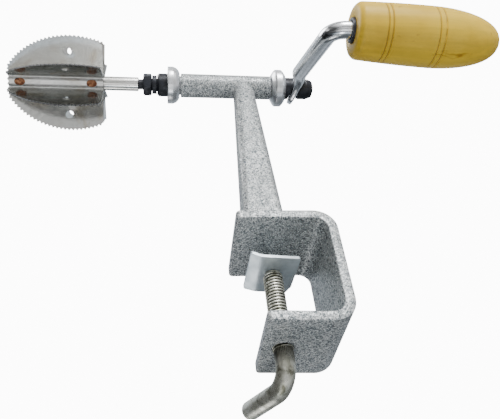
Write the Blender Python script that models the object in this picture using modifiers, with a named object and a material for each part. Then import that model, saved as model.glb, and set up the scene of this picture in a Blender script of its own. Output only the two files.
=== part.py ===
"""Table-clamp rotary coconut scraper: each physical piece is its own closed solid.

World frame in metres, +Z up.  The origin is on the post's axis at the clamp's seat
plane (the underside of the top jaw); the spindle runs along X.
"""
import math

import bmesh
import bpy
from mathutils import Matrix, Vector

MM = 0.001
GAP = 0.3

# Clamp bracket: one bent flat bar, open towards -X
BAR_T = 5.0
BAR_HALF_W = 25.0
TOP_OPEN_X = -17.5
BACK_OUT_X = 32.5
JAW_H = 54.0
BOTTOM_OPEN_X = -8.5
BEND_OUT = 11.5
BEND_STEPS = 5
JAW_CORNER = 2.2
JAW_RISE = 1.3

# Post: tapers from a rounded square to a nearly round top
POST_BASE = (11.2, 10.5, 3.0)
POST_TOP = (6.5, 6.8, 5.6)

# Spindle line and its stations along X
AXIS_Z = 137.5
BARREL_R = 7.75
BARREL_BORE = 6.3
BARREL_X = (-41.4, 18.2)
SHAFT_R = 4.5
THREAD_R = 4.0
UNDERCUT_R = 3.3
SHAFT_LEFT = -149.0
SHAFT_RIGHT = 47.7
UNDERCUT_X = (-69.0, -66.2)
BORE_R = THREAD_R + GAP
NUT_R = 7.4
NUT_FLATS = 13.0
NUT_TURN = -36.0
LOCK_NUT_X = (-65.9, -60.45)
COLLAR_X = (-60.15, -57.15)
COLLAR_R = 6.0
CONE_R = 7.5
RACE_R = 6.3

# Ball bearings
BALL_R = 1.985
BALL_PITCH = 8.6
BALL_COUNT = 10
BALL_X_LEFT = -46.9
BALL_X_RIGHT = 24.7

# Cutter head: folded sheet leaves round the spindle
HEAD_FRONT = -150.2
HEAD_REAR = -91.0
HEAD_APEX_X = -110.5
HEAD_APEX_R = 31.8
HEAD_ARC_R = 48.0
HEAD_NOSE_R = 11.0
LEAF_COUNT = 4
LEAF_TURN = -56.6
WING_SPLAY = 18.0
WING_OFFSET = 2.52
WING_ROOT = 6.1
SHEET_T = 0.8
WEB_NEAR = SHAFT_R + GAP
WEB_HALF_W = 4.5
TOOTH_PITCH = 2.55
TOOTH_H = 1.2
LEAF_HOLE_X = -112.3
LEAF_HOLE_R = 21.5
LEAF_HOLE_RADIUS = 2.5

# Crank and its wooden grip
CRANK_RADIUS = 81.0
CRANK_ANGLE = -29.0
ROD_R = 4.9
EYE_X = 36.9
EYE_R = 11.5
EYE_T = 4.2
EYE_TILT = 28.0
CORNER_X = 40.0
CRANK_BEND = 10.0
BOW = 4.0
BOW_AT = 25.0
BOW_FROM = 7.0
GRIP_LEAN = 2.8
ROD_END_X = 118.0
GRIP_X = 51.0
GRIP_LEN = 85.5
GRIP_R = 17.1
FERRULE_R = 6.9
FERRULE_LEN = 6.0
FERRULE_PROUD = 1.2
WASHER_T = 0.6
WASHER_R = 7.4

# Clamp screw, its bent handle and the pressure pad
SCREW_X = 1.5
SCREW_R = 5.0
SCREW_ROOT_R = 4.15
SCREW_PITCH = 1.7
SCREW_TOP_Z = -18.6
SCREW_TURNS = 24
SCREW_ROD_R = 4.75
HANDLE_CORNER_Z = -76.4
HANDLE_BEND = 9.6
HANDLE_LEN = 35.0
HANDLE_AZIMUTH = 113.2
HANDLE_RISE = 4.6
PAD_UNDER_Z = -16.2
PAD_T = 1.5
PAD_OUTLINE = (
    (-10.6, -14.9), (14.3, -12.3), (13.2, 12.0), (10.8, 17.3), (3.0, 16.4), (-5.5, 15.6), (-11.5, 16.0),
)
PAD_FOLD_X = -5.5
PAD_FOLD_RISE = 2.0
SPIGOT_R = 3.0
PEEN_R = 4.0
PEEN_H = 0.85
PEEN_DROP = 0.05
SINK_R = 4.6
SINK_H = 1.1

ROUND = 24


def wipe():
    for old in list(bpy.data.objects):
        bpy.data.objects.remove(old, do_unlink=True)


def collection(name):
    group = bpy.data.collections.new(name)
    bpy.context.scene.collection.children.link(group)
    return group


wipe()
PARTS = collection("coconut_scraper")
CUTTERS = collection("cutters")


def material(name, colour, roughness, metallic):
    made = bpy.data.materials.new(name)
    made.use_nodes = True
    shader = made.node_tree.nodes["Principled BSDF"]
    shader.inputs["Base Color"].default_value = (*colour, 1.0)
    shader.inputs["Roughness"].default_value = roughness
    shader.inputs["Metallic"].default_value = metallic
    made.diffuse_color = (*colour, 1.0)
    return made


def point(x, y, z):
    return Vector((x * MM, y * MM, z * MM))


def add_object(name, mesh, look, smooth=30.0, group=None):
    """Link a mesh as a named object with one material."""
    made = bpy.data.objects.new(name, mesh)
    (group or PARTS).objects.link(made)
    if look:
        mesh.materials.append(look)
    if smooth:
        for face in mesh.polygons:
            face.use_smooth = True
        if len(mesh.polygons):
            mesh.set_sharp_from_angle(angle=math.radians(smooth))
    return made


def mesh_from(name, verts, faces, edges=()):
    made = bpy.data.meshes.new(name)
    made.from_pydata([tuple(v) for v in verts], list(edges), list(faces))
    made.update()
    return made


def aim_x(made, x=0.0, y=0.0, z=AXIS_Z):
    """Turn an object's local Z onto world X and put it on the spindle line."""
    made.rotation_euler = (0.0, math.pi / 2, 0.0)
    made.location = point(x, y, z)
    return made


def turned(name, profile, look, steps=ROUND, closed=False, group=None):
    """Turn (height, radius) stations, listed down the outer side, about local Z."""
    verts = [point(r, 0.0, h) for h, r in profile]
    count = len(verts)
    edges = [(i, i + 1) for i in range(count - 1)]
    if closed:
        edges.append((count - 1, 0))
    made = add_object(name, mesh_from(name, verts, (), edges), look, 0.0, group)
    screw = made.modifiers.new("turn", "SCREW")
    screw.axis = "Z"
    screw.steps = steps
    screw.render_steps = steps
    screw.use_merge_vertices = True
    screw.merge_threshold = 0.00001
    screw.use_smooth_shade = True
    return made


def bake(made, smooth=30.0):
    """Swap an object's modifiers for their result, one welded mesh."""
    graph = bpy.context.evaluated_depsgraph_get()
    graph.update()
    result = bpy.data.meshes.new_from_object(made.evaluated_get(graph))
    result.name = made.name
    work = bmesh.new()
    work.from_mesh(result)
    bmesh.ops.remove_doubles(work, verts=work.verts, dist=0.000001)
    bmesh.ops.dissolve_degenerate(work, edges=work.edges, dist=0.0000005)
    work.to_mesh(result)
    work.free()
    made.modifiers.clear()
    made.data = result
    for face in result.polygons:
        face.use_smooth = True
    result.set_sharp_from_angle(angle=math.radians(smooth))
    return made


def cutter(made):
    made.hide_render = True
    made.display_type = "WIRE"
    return made


def combine(made, other, operation):
    step = made.modifiers.new(operation.lower(), "BOOLEAN")
    step.operation = operation
    step.solver = "EXACT"
    step.object = other
    return made


def drill(name, centre, direction, radius, length, steps=20):
    """A round cutter centred on a point."""
    mesh = bpy.data.meshes.new(name)
    work = bmesh.new()
    bmesh.ops.create_cone(
        work, cap_ends=True, segments=steps, radius1=radius * MM, radius2=radius * MM, depth=length * MM,
    )
    work.to_mesh(mesh)
    work.free()
    made = add_object(name, mesh, None, 0.0, CUTTERS)
    made.rotation_euler = Vector(direction).to_track_quat("Z", "Y").to_euler()
    made.location = point(*centre)
    return cutter(made)


def slab(name, size, matrix, group=None, look=None):
    """A box of the given size in mm, placed by a matrix in mm."""
    mesh = bpy.data.meshes.new(name)
    work = bmesh.new()
    bmesh.ops.create_cube(work, size=1.0)
    for vert in work.verts:
        moved = matrix @ Vector((vert.co.x * size[0], vert.co.y * size[1], vert.co.z * size[2]))
        vert.co = moved * MM
    work.to_mesh(mesh)
    work.free()
    return add_object(name, mesh, look, 0.0, group or CUTTERS)


def prism(name, outline, low, high, place, look=None, group=None):
    """A flat outline extruded between two heights; place maps (u, v, h) to a point in mm."""
    count = len(outline)
    verts = [place(u, v, low) for u, v in outline] + [place(u, v, high) for u, v in outline]
    faces = [tuple(range(count - 1, -1, -1)), tuple(range(count, 2 * count))]
    for i in range(count):
        after = (i + 1) % count
        faces.append((i, after, count + after, count + i))
    return add_object(name, mesh_from(name, [v * MM for v in verts], faces), look, 0.0, group)


def arc(cx, cy, radius, start, end, steps):
    """Points of a circular arc; angles in degrees."""
    made = []
    for i in range(steps + 1):
        angle = math.radians(start + (end - start) * i / steps)
        made.append((cx + radius * math.cos(angle), cy + radius * math.sin(angle)))
    return made


def build_bracket(look):
    """Flat bar bent to a C: top jaw, back wall, bottom jaw with the screw's hole."""
    inner = BEND_OUT - BAR_T
    cx = BACK_OUT_X - BEND_OUT
    top_c = BAR_T - BEND_OUT
    low_c = -JAW_H - BAR_T + BEND_OUT
    outline = [(TOP_OPEN_X, BAR_T)]
    outline += arc(cx, top_c, BEND_OUT, 90.0, 0.0, BEND_STEPS)
    outline += arc(cx, low_c, BEND_OUT, 0.0, -90.0, BEND_STEPS)
    outline += [(BOTTOM_OPEN_X, -JAW_H - BAR_T + JAW_RISE), (BOTTOM_OPEN_X, -JAW_H + JAW_RISE)]
    outline += arc(cx, low_c, inner, -90.0, 0.0, BEND_STEPS)
    outline += arc(cx, top_c, inner, 0.0, 90.0, BEND_STEPS)
    outline += [(TOP_OPEN_X, 0.0)]
    made = prism(
        "clamp_bracket", outline, -BAR_HALF_W, BAR_HALF_W, lambda u, v, h: Vector((u, h, v)), look,
    )
    weights = made.data.attributes.new("bevel_weight_edge", "FLOAT", "EDGE")
    ends = (TOP_OPEN_X * MM, BOTTOM_OPEN_X * MM)
    for edge in made.data.edges:
        a, b = (made.data.vertices[i].co for i in edge.vertices)
        upright = abs(a.x - b.x) < 1e-7 and abs(a.y - b.y) < 1e-7
        if upright and min(abs(a.x - ends[0]), abs(a.x - ends[1])) < 1e-7:
            weights.data[edge.index].value = 1.0
    bevel = made.modifiers.new("corners", "BEVEL")
    bevel.limit_method = "WEIGHT"
    bevel.width = JAW_CORNER * MM
    bevel.segments = 4
    hole = drill("cut_screw_hole", (SCREW_X, 0.0, -JAW_H - BAR_T / 2), (0, 0, 1), SCREW_R + GAP, 12.0, 24)
    combine(made, hole, "DIFFERENCE")
    return bake(made, 40.0)


def rounded_section(half_x, half_y, corner, steps=4):
    """Rounded rectangle as a loop of (x, y) points."""
    corner = min(corner, half_x, half_y)
    made = []
    for sx, sy, start in ((1, 1, 0), (-1, 1, 90), (-1, -1, 180), (1, -1, 270)):
        cx = sx * (half_x - corner)
        cy = sy * (half_y - corner)
        made += arc(cx, cy, corner, start, start + 90, steps)
    return made


def loft(name, rings, look, smooth=30.0):
    """Skin closed rings of equal count, listed so that the skin faces out."""
    size = len(rings[0])
    verts = [v * MM for ring in rings for v in ring]
    faces = [tuple(range(size - 1, -1, -1))]
    for k in range(len(rings) - 1):
        for i in range(size):
            after = (i + 1) % size
            faces.append((k * size + i, k * size + after, (k + 1) * size + after, (k + 1) * size + i))
    last = (len(rings) - 1) * size
    faces.append(tuple(range(last, last + size)))
    return add_object(name, mesh_from(name, verts, faces), look, smooth)


def build_post(look):
    """Tapered post, saddled round the barrel at its top."""
    rings = []
    steps = 4
    for k in range(steps + 1):
        t = k / steps
        half_x, half_y, corner = (a + (b - a) * t for a, b in zip(POST_BASE, POST_TOP))
        z = BAR_T + GAP + (AXIS_Z - 1.0 - BAR_T - GAP) * t
        rings.append([Vector((x, y, z)) for x, y in rounded_section(half_x, half_y, corner)])
    made = loft("post", rings, look)
    saddle = drill("cut_saddle", (0.0, 0.0, AXIS_Z), (1, 0, 0), BARREL_R + GAP, 40.0, 40)
    combine(made, saddle, "DIFFERENCE")
    return bake(made)


def ring_x(name, outer, inner, look, steps=ROUND):
    """A ring about the spindle from its outer and inner (x, radius) stations, each from +X to -X."""
    profile = list(outer) + list(reversed(inner))
    return aim_x(turned(name, profile, look, steps, closed=True))


def build_barrel(look):
    left, right = BARREL_X
    return ring_x(
        "barrel_tube", [(right, BARREL_R), (left, BARREL_R)], [(right, BARREL_BORE), (left, BARREL_BORE)], look, 36,
    )


def mirrored(stations, about):
    return [(2 * about - x, r) for x, r in reversed(stations)]


def build_cup_left(look):
    """Cup with a race pocket open to the left and a spigot in the barrel."""
    outer = [
        (-36.5, 6.0), (-42.3, 6.0), (-42.3, 8.3), (-43.2, 10.0), (-44.6, 11.3), (-46.6, 12.1), (-49.8, 12.1),
        (-50.2, 11.7),
    ]
    inner = [(-36.5, 4.7), (-44.6, 4.7), (-44.6, 9.9), (-45.6, 10.9), (-49.2, 10.9), (-49.2, 7.8), (-50.2, 7.8)]
    return ring_x("bearing_cup_left", outer, inner, look, 26)


def build_cup_right(look):
    """Cup with a race pocket open to the right and a spigot in the barrel."""
    outer = [
        (28.0, 9.2), (26.4, 11.4), (25.4, 12.3), (21.6, 12.3), (20.6, 11.4), (19.0, 8.8), (19.0, 6.0), (13.4, 6.0),
    ]
    inner = [(28.0, 7.55), (27.0, 7.55), (27.0, 10.9), (23.4, 10.9), (22.4, 9.9), (22.4, 4.7), (13.4, 4.7)]
    return ring_x("bearing_cup_right", outer, inner, look, 26)


def build_balls(look):
    """Two rings of loose balls between the cones and the cups."""
    mesh = bpy.data.meshes.new("ball")
    work = bmesh.new()
    bmesh.ops.create_uvsphere(work, u_segments=8, v_segments=5, radius=BALL_R * MM)
    work.to_mesh(mesh)
    work.free()
    mesh.materials.append(look)
    for face in mesh.polygons:
        face.use_smooth = True
    for side, x in (("left", BALL_X_LEFT), ("right", BALL_X_RIGHT)):
        for i in range(BALL_COUNT):
            angle = 2 * math.pi * (i + 0.5) / BALL_COUNT
            made = bpy.data.objects.new(f"ball_{side}_{i + 1}", mesh)
            PARTS.objects.link(made)
            made.location = point(x, BALL_PITCH * math.cos(angle), AXIS_Z + BALL_PITCH * math.sin(angle))


def build_shaft(look):
    """One axle from the cutter head to the crank's end nut."""
    profile = [
        (SHAFT_RIGHT, 0.0), (SHAFT_RIGHT, THREAD_R - 0.8), (SHAFT_RIGHT - 0.8, THREAD_R), (UNDERCUT_X[1], THREAD_R),
        (UNDERCUT_X[1], UNDERCUT_R), (UNDERCUT_X[0], UNDERCUT_R), (UNDERCUT_X[0], SHAFT_R),
        (SHAFT_LEFT + 0.6, SHAFT_R), (SHAFT_LEFT, SHAFT_R - 0.6), (SHAFT_LEFT, 0.0),
    ]
    return aim_x(turned("spindle_shaft", profile, look, 24))


def build_cone_left(look):
    outer = [(-45.0, RACE_R), (-48.6, RACE_R), (-50.0, CONE_R), (-56.0, CONE_R), (-56.85, CONE_R - 0.8)]
    inner = [(-45.0, BORE_R), (-56.85, BORE_R)]
    return ring_x("cone_left", outer, inner, look)


def eye_frame():
    """Unit vectors of the crank: along the arm, across it (downwards), and the eye's tilted pair."""
    eye = Vector((EYE_X, 0.0, AXIS_Z))
    angle = math.radians(CRANK_ANGLE)
    corner = Vector((CORNER_X, -CRANK_RADIUS * math.cos(angle), AXIS_Z + CRANK_RADIUS * math.sin(angle)))
    along = (corner - eye).normalized()
    across = along.cross(Vector((1, 0, 0))).normalized()
    if across.z > 0:
        across = -across
    normal = across.cross(along).normalized()
    if normal.x < 0:
        normal = -normal
    tilt = math.radians(EYE_TILT)
    face = normal * math.cos(tilt) + across * math.sin(tilt)
    width = across * math.cos(tilt) - normal * math.sin(tilt)
    return eye, corner, along, across, normal, face, width


def side_box(name, start, towards):
    """A large box cutter on one side of the tilted eye, its near face at start mm from the eye's centre."""
    eye, _, along, _, _, face, width = eye_frame()
    size = 60.0
    middle = eye + face * (start + towards * size / 2)
    matrix = Matrix.Translation(middle) @ Matrix((along, width, face)).transposed().to_4x4()
    return cutter(slab(name, (size, size, size), matrix))


def build_cone_right(look):
    """Right cone; its outer end is slanted to seat the crank's eye."""
    outer = [(39.4, 6.4), (38.4, 7.25), (27.8, 7.25), (26.4, RACE_R), (22.8, RACE_R)]
    inner = [(39.4, BORE_R), (22.8, BORE_R)]
    made = ring_x("cone_right", outer, inner, look)
    combine(made, side_box("cut_cone_seat", -EYE_T / 2 - GAP, 1.0), "DIFFERENCE")
    return bake(made)


def build_washer(look):
    """Thin washer lying flat on the eye's outer face."""
    eye, _, along, _, _, face, width = eye_frame()
    centre = eye + Vector((1, 0, 0)) * ((EYE_T / 2 + GAP + WASHER_T / 2) / face.x)
    outline = arc(0.0, 0.0, WASHER_R, 0.0, 360.0 - 360.0 / ROUND, ROUND - 1)
    made = prism(
        "eye_washer", outline, -WASHER_T / 2, WASHER_T / 2,
        lambda u, v, h: centre + along * u + width * v + face * h, look,
    )
    combine(made, drill("cut_washer_bore", tuple(centre), (1, 0, 0), BORE_R, 20.0), "DIFFERENCE")
    return bake(made)


def build_end_nut(look):
    """Outer nut with a tapered nose, slanted to seat on the washer."""
    outer = [(46.9, 5.3), (46.2, 5.8), (42.9, 7.0), (35.5, 7.0)]
    inner = [(46.9, BORE_R), (35.5, BORE_R)]
    made = ring_x("end_nut", outer, inner, look)
    combine(made, side_box("cut_nut_seat", EYE_T / 2 + 2 * GAP + WASHER_T, -1.0), "DIFFERENCE")
    return bake(made)


def build_lock_nut(look):
    """Hexagonal lock nut with chamfered corners."""
    left, right = LOCK_NUT_X
    outer = [(right, NUT_R - 1.0), (right - 0.6, NUT_R), (left + 0.6, NUT_R), (left, NUT_R - 1.0)]
    inner = [(right, BORE_R), (left, BORE_R)]
    made = ring_x("lock_nut", outer, inner, look, 24)
    hexagon = []
    for k in range(6):
        angle = math.radians(NUT_TURN + 30.0 + 60.0 * k)
        reach = NUT_FLATS / 2 / math.cos(math.radians(30.0))
        hexagon.append((-reach * math.cos(angle), reach * math.sin(angle)))
    block = prism(
        "cut_hexagon", list(reversed(hexagon)), left - 2.0, right + 2.0,
        lambda u, v, h: Vector((h, u, AXIS_Z + v)), None, CUTTERS,
    )
    combine(made, cutter(block), "INTERSECT")
    return bake(made)


def build_collar(look):
    left, right = COLLAR_X
    return ring_x(
        "spacer_collar", [(right, COLLAR_R), (left, COLLAR_R)], [(right, BORE_R), (left, BORE_R)], look,
    )


def wing_edge(x):
    """Radius of a wing's curved edge at a station along the spindle."""
    fall = HEAD_ARC_R - math.sqrt(HEAD_ARC_R ** 2 - (x - HEAD_APEX_X) ** 2)
    return HEAD_APEX_R - fall


def wing_outline():
    """Wing outline in (x, radius): straight rear edge, toothed arc, toothed nose."""
    start = math.asin((HEAD_REAR - 0.5 - HEAD_APEX_X) / HEAD_ARC_R)
    front = HEAD_FRONT
    end = -math.asin((HEAD_APEX_X - front) / HEAD_ARC_R)
    count = round((start - end) * HEAD_ARC_R / TOOTH_PITCH)
    centre_r = HEAD_APEX_R - HEAD_ARC_R
    made = [(HEAD_REAR, WING_ROOT), (HEAD_REAR, wing_edge(HEAD_REAR) - 1.3)]
    for k in range(count + 1):
        angle = start + (end - start) * k / count
        for share, drop in ((0.0, TOOTH_H), (0.5, 0.0)):
            if k == count and share > 0.0:
                continue
            turn = angle + (end - start) / count * share
            reach = HEAD_ARC_R - drop
            made.append((HEAD_APEX_X + reach * math.sin(turn), centre_r + reach * math.cos(turn)))
    made += front_teeth(made[-1][1], WING_ROOT, 2)
    return made


def front_teeth(start, end, teeth):
    """Teeth along a leaf's front edge, between two distances."""
    made = []
    step = (end - start) / teeth
    for k in range(teeth):
        made.append((HEAD_FRONT, start + step * (k + 0.5)))
        made.append((HEAD_FRONT + TOOTH_H * 0.8, start + step * (k + 1.0)))
    return made


def radial(angle):
    """Unit vector from the spindle line; 0 degrees is -Y and 90 degrees is +Z."""
    turn = math.radians(angle)
    return Vector((0.0, -math.cos(turn), math.sin(turn)))


def wing(name, angle, sign, outline, look):
    """One flat wing with its round hole; sign says on which side of the leaf's web it stands."""
    out = radial(angle + sign * WING_SPLAY)
    side = out.cross(Vector((1, 0, 0)))
    base = Vector((0, 0, AXIS_Z)) + side * sign * WING_OFFSET
    made = prism(
        name, outline, -SHEET_T / 2, SHEET_T / 2,
        lambda u, v, h: base + Vector((u, 0, 0)) + out * v - side * h, look, CUTTERS,
    )
    centre = base + Vector((LEAF_HOLE_X, 0, 0)) + out * LEAF_HOLE_R
    combine(made, drill("cut_" + name, tuple(centre), tuple(side), LEAF_HOLE_RADIUS, 6.0, 14), "DIFFERENCE")
    return cutter(bake(made))


def build_leaf(number, look):
    """A folded leaf: two toothed wings joined by a flat web laid on the shaft."""
    angle = LEAF_TURN + 90.0 * (number - 1)
    out = radial(angle)
    side = out.cross(Vector((1, 0, 0)))
    base = Vector((0, 0, AXIS_Z))
    web = [(HEAD_REAR - 0.2, -WEB_HALF_W), (HEAD_REAR - 0.2, WEB_HALF_W), (HEAD_FRONT + TOOTH_H, WEB_HALF_W)]
    web += front_teeth(WEB_HALF_W, -WEB_HALF_W, 3)
    made = prism(
        f"cutter_leaf_{number}", web, WEB_NEAR, WEB_NEAR + SHEET_T,
        lambda u, v, h: base + Vector((u, 0, 0)) + side * v + out * h, look,
    )
    outline = wing_outline()
    for letter, sign in (("a", -1), ("b", 1)):
        combine(made, wing(f"cut_wing_{number}{letter}", angle, sign, outline, look), "UNION")
    return bake(made, 20.0)


def section(centre, thick_dir, wide_dir, half_t, half_w, power, count=16):
    """Superellipse ring about a centre."""
    ring = []
    for i in range(count):
        angle = 2 * math.pi * (i + 0.5) / count
        c, s = math.cos(angle), math.sin(angle)
        u = math.copysign(abs(c) ** (2 / power), c) * half_t
        v = math.copysign(abs(s) ** (2 / power), s) * half_w
        ring.append(centre + thick_dir * u + wide_dir * v)
    return ring


def grip_direction():
    """Unit vector along the grip, which leans a little out of the crank's plane."""
    across = eye_frame()[3]
    lean = math.radians(GRIP_LEAN)
    return Vector((1, 0, 0)) * math.cos(lean) + across * math.sin(lean)


def aim_grip(made):
    """Put a piece turned about its own Z onto the grip's line, its stations measured as x."""
    corner, away = eye_frame()[1], grip_direction()
    made.rotation_mode = "QUATERNION"
    made.rotation_quaternion = away.to_track_quat("Z", "Y")
    made.location = point(*(corner - away * CORNER_X))
    return made


def bow(distance):
    """How far the arm's line stands off to the left at a distance from the eye."""
    share = min(1.0, max(0.0, (distance - BOW_FROM) / (BOW_AT - BOW_FROM)))
    return BOW * share * share * (3 - 2 * share)


def build_crank(look):
    """Round rod flattened to an eye at the spindle, bowed beside it and bent square into the grip."""
    eye, corner, along, across, normal, _, _ = eye_frame()
    rings = []
    tilt = math.radians(EYE_TILT)
    stations = []
    for turn in (-78, -58, -36, -12, 12, 34):
        turn = math.radians(turn)
        stations.append((EYE_R * math.sin(turn), EYE_T / 2, EYE_R * math.cos(turn)))
    stations += [(11.5, 2.3, 7.6), (16.0, 3.3, 6.1), (21.0, 4.4, 5.2), (BOW_AT, ROD_R, ROD_R)]
    for distance, half_t, half_w in stations:
        flat = max(0.0, min(1.0, (BOW_AT - distance) / 15.0))
        turn = tilt * flat
        thick_dir = normal * math.cos(turn) + across * math.sin(turn)
        wide_dir = across * math.cos(turn) - normal * math.sin(turn)
        power = 2.0 + 3.0 * flat
        centre = eye + along * distance - normal * bow(distance)
        rings.append(section(centre, thick_dir, wide_dir, half_t, half_w, power))
    lean = (corner - eye - along * BOW_AT + normal * BOW).normalized()
    away = grip_direction()
    bend_angle = lean.angle(away)
    inward = (away - lean * lean.dot(away)).normalized()
    side = lean.cross(away).normalized()
    if side.dot(across) < 0:
        side = -side
    centre = corner - lean * CRANK_BEND * math.tan(bend_angle / 2) + inward * CRANK_BEND
    for k in range(7):
        turn = bend_angle * k / 6
        spoke = -inward * math.cos(turn) + lean * math.sin(turn)
        rings.append(section(centre + spoke * CRANK_BEND, -spoke, side, ROD_R, ROD_R, 2.0))
    for x, radius in ((ROD_END_X - 1.0, ROD_R), (ROD_END_X, ROD_R - 1.0)):
        rings.append(section(corner + away * (x - CORNER_X), -spoke, side, radius, radius, 2.0))
    made = loft("crank_arm", rings, look)
    combine(made, drill("cut_eye", tuple(eye), (1, 0, 0), BORE_R, 40.0, 24), "DIFFERENCE")
    return bake(made)


def grip_radius(s):
    """Grip radius at a distance from its open end."""
    nose = 45.0
    if s < nose:
        return GRIP_R - (GRIP_R - 15.9) * ((nose - s) / (nose - 3.0)) ** 2
    share = (s - nose) / (GRIP_LEN - nose)
    return GRIP_R * math.cos(math.asin(min(1.0, share))) ** 0.8


def build_grip(look):
    """Turned wooden grip with two pairs of grooves and a blind bore for the rod."""
    stations = [(0.0, 12.4), (0.8, 14.4), (3.0, 15.9), (9.0, grip_radius(9.0))]
    for s in (15.4, 17.9):
        stations += [(s - 0.6, grip_radius(s)), (s, grip_radius(s) - 0.7), (s + 0.6, grip_radius(s))]
    stations += [(34.0, grip_radius(34.0))]
    for s in (44.2, 47.6):
        stations += [(s - 0.6, grip_radius(s - 0.6)), (s, grip_radius(s) - 0.7), (s + 0.6, grip_radius(s + 0.6))]
    for s in (58.0, 65.0, 71.0, 76.5, 81.0, 84.5):
        stations.append((s, grip_radius(s)))
    stations = sorted(set(stations))
    tip = [(GRIP_X + GRIP_LEN, 0.0)]
    outer = [(GRIP_X + s, r) for s, r in reversed(stations)]
    bore = ROD_R + GAP + 0.1
    pocket = GRIP_X + FERRULE_LEN + GAP
    deep = ROD_END_X + 1.5
    inner = [(GRIP_X, FERRULE_R + GAP), (pocket, FERRULE_R + GAP), (pocket, bore), (deep, bore), (deep, 0.0)]
    return aim_grip(turned("wooden_grip", tip + outer + inner, look, 24))


def build_ferrule(look):
    """Steel bush pressed in the grip's mouth."""
    left = GRIP_X - FERRULE_PROUD
    right = GRIP_X + FERRULE_LEN
    bore = ROD_R + GAP
    profile = [(right, FERRULE_R), (left, FERRULE_R), (left, bore), (right, bore)]
    return aim_grip(turned("grip_ferrule", profile, look, ROUND, closed=True))


def thread_mesh(name, low_z, turns):
    """Right-handed screw thread as one closed skin."""
    steps = 12
    rows = 2 * turns
    verts = []
    for j in range(rows + 2):
        radius = SCREW_R if j % 2 == 0 else SCREW_ROOT_R
        for i in range(steps):
            angle = 2 * math.pi * i / steps
            z = low_z + SCREW_PITCH * (j / 2 + i / steps)
            verts.append(Vector((SCREW_X + radius * math.cos(angle), radius * math.sin(angle), z)))

    def index(j, i):
        return (j + 2) * steps if i == steps else j * steps + i

    faces = []
    for j in range(rows - 1):
        for i in range(steps):
            faces.append((index(j, i), index(j, i + 1), index(j + 1, i + 1), index(j + 1, i)))
    low = [index(0, i) for i in range(steps)] + [index(2, 0), index(1, 0)]
    top_row = rows - 1
    high = [index(top_row, i) for i in range(steps)] + [index(top_row + 2, 0), index(top_row + 1, 0)]
    bottom = len(verts)
    verts.append(Vector((SCREW_X, 0.0, low_z - 0.2)))
    verts.append(Vector((SCREW_X, 0.0, low_z + SCREW_PITCH * (top_row / 2 + 1.0) + 0.2)))
    for k, here in enumerate(low):
        faces.append((bottom, low[(k + 1) % len(low)], here))
    for k, here in enumerate(high):
        faces.append((bottom + 1, here, high[(k + 1) % len(high)]))
    used = sorted({i for face in faces for i in face})
    remap = {old: new for new, old in enumerate(used)}
    faces = [tuple(remap[i] for i in face) for face in faces]
    return mesh_from(name, [verts[i] * MM for i in used], faces)


def handle_path():
    """Centre line of the plain rod: down from the thread, round the bend, out along the leg."""
    rise = math.radians(HANDLE_RISE)
    azimuth = math.radians(HANDLE_AZIMUTH)
    leg = Vector((math.cos(azimuth) * math.cos(rise), math.sin(azimuth) * math.cos(rise), math.sin(rise)))
    down = Vector((0, 0, -1))
    corner = Vector((SCREW_X, 0.0, HANDLE_CORNER_Z))
    bend = math.acos(down.dot(leg))
    set_back = HANDLE_BEND * math.tan(bend / 2)
    start = corner - down * set_back
    inward = (leg - down * down.dot(leg)).normalized()
    centre = start + inward * HANDLE_BEND
    path = [Vector((SCREW_X, 0.0, -JAW_H - 3.6))]
    tangents = [down]
    for k in range(7):
        turn = bend * k / 6
        path.append(centre + (-inward * math.cos(turn) + down * math.sin(turn)) * HANDLE_BEND)
        tangents.append((down * math.cos(turn) + inward * math.sin(turn)).normalized())
    path += [corner + leg * (HANDLE_LEN - 0.8), corner + leg * HANDLE_LEN]
    tangents += [leg, leg]
    return path, tangents, down.cross(leg).normalized()


def build_screw(look):
    """Threaded clamp screw, its spigot peened into the pad, and the bent rod handle, all one piece."""
    low_z = SCREW_TOP_Z - SCREW_PITCH * (SCREW_TURNS + 0.5)
    made = add_object("clamp_screw", thread_mesh("clamp_screw", low_z, SCREW_TURNS), look, 0.0)
    path, tangents, side = handle_path()
    rings = []
    for place, along in zip(path, tangents):
        radius = SCREW_ROD_R if place is not path[-1] else SCREW_ROD_R - 0.8
        rings.append(section(place, side, along.cross(side), radius, radius, 2.0, 20))
    rod = loft("cut_handle_rod", rings, look)
    PARTS.objects.unlink(rod)
    CUTTERS.objects.link(rod)
    combine(made, cutter(rod), "UNION")
    pad_top = PAD_UNDER_Z + PAD_T
    shoulder = PAD_UNDER_Z - GAP
    head = [
        (pad_top - PEEN_DROP, 0.0), (pad_top - PEEN_DROP, PEEN_R), (pad_top - PEEN_DROP - PEEN_H, SPIGOT_R),
        (shoulder, SPIGOT_R), (shoulder, SCREW_ROOT_R - 0.1),
        (SCREW_TOP_Z - 4.0, SCREW_ROOT_R - 0.1), (SCREW_TOP_Z - 4.0, 0.0),
    ]
    spigot = turned("cut_spigot", head, look, 20, group=CUTTERS)
    spigot.location = point(SCREW_X, 0.0, 0.0)
    combine(made, cutter(spigot), "UNION")
    bake(made, 25.0)
    offset = point(SCREW_X, 0.0, 0.0)
    made.data.transform(Matrix.Translation(-offset))
    made.location = offset
    return made


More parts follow.
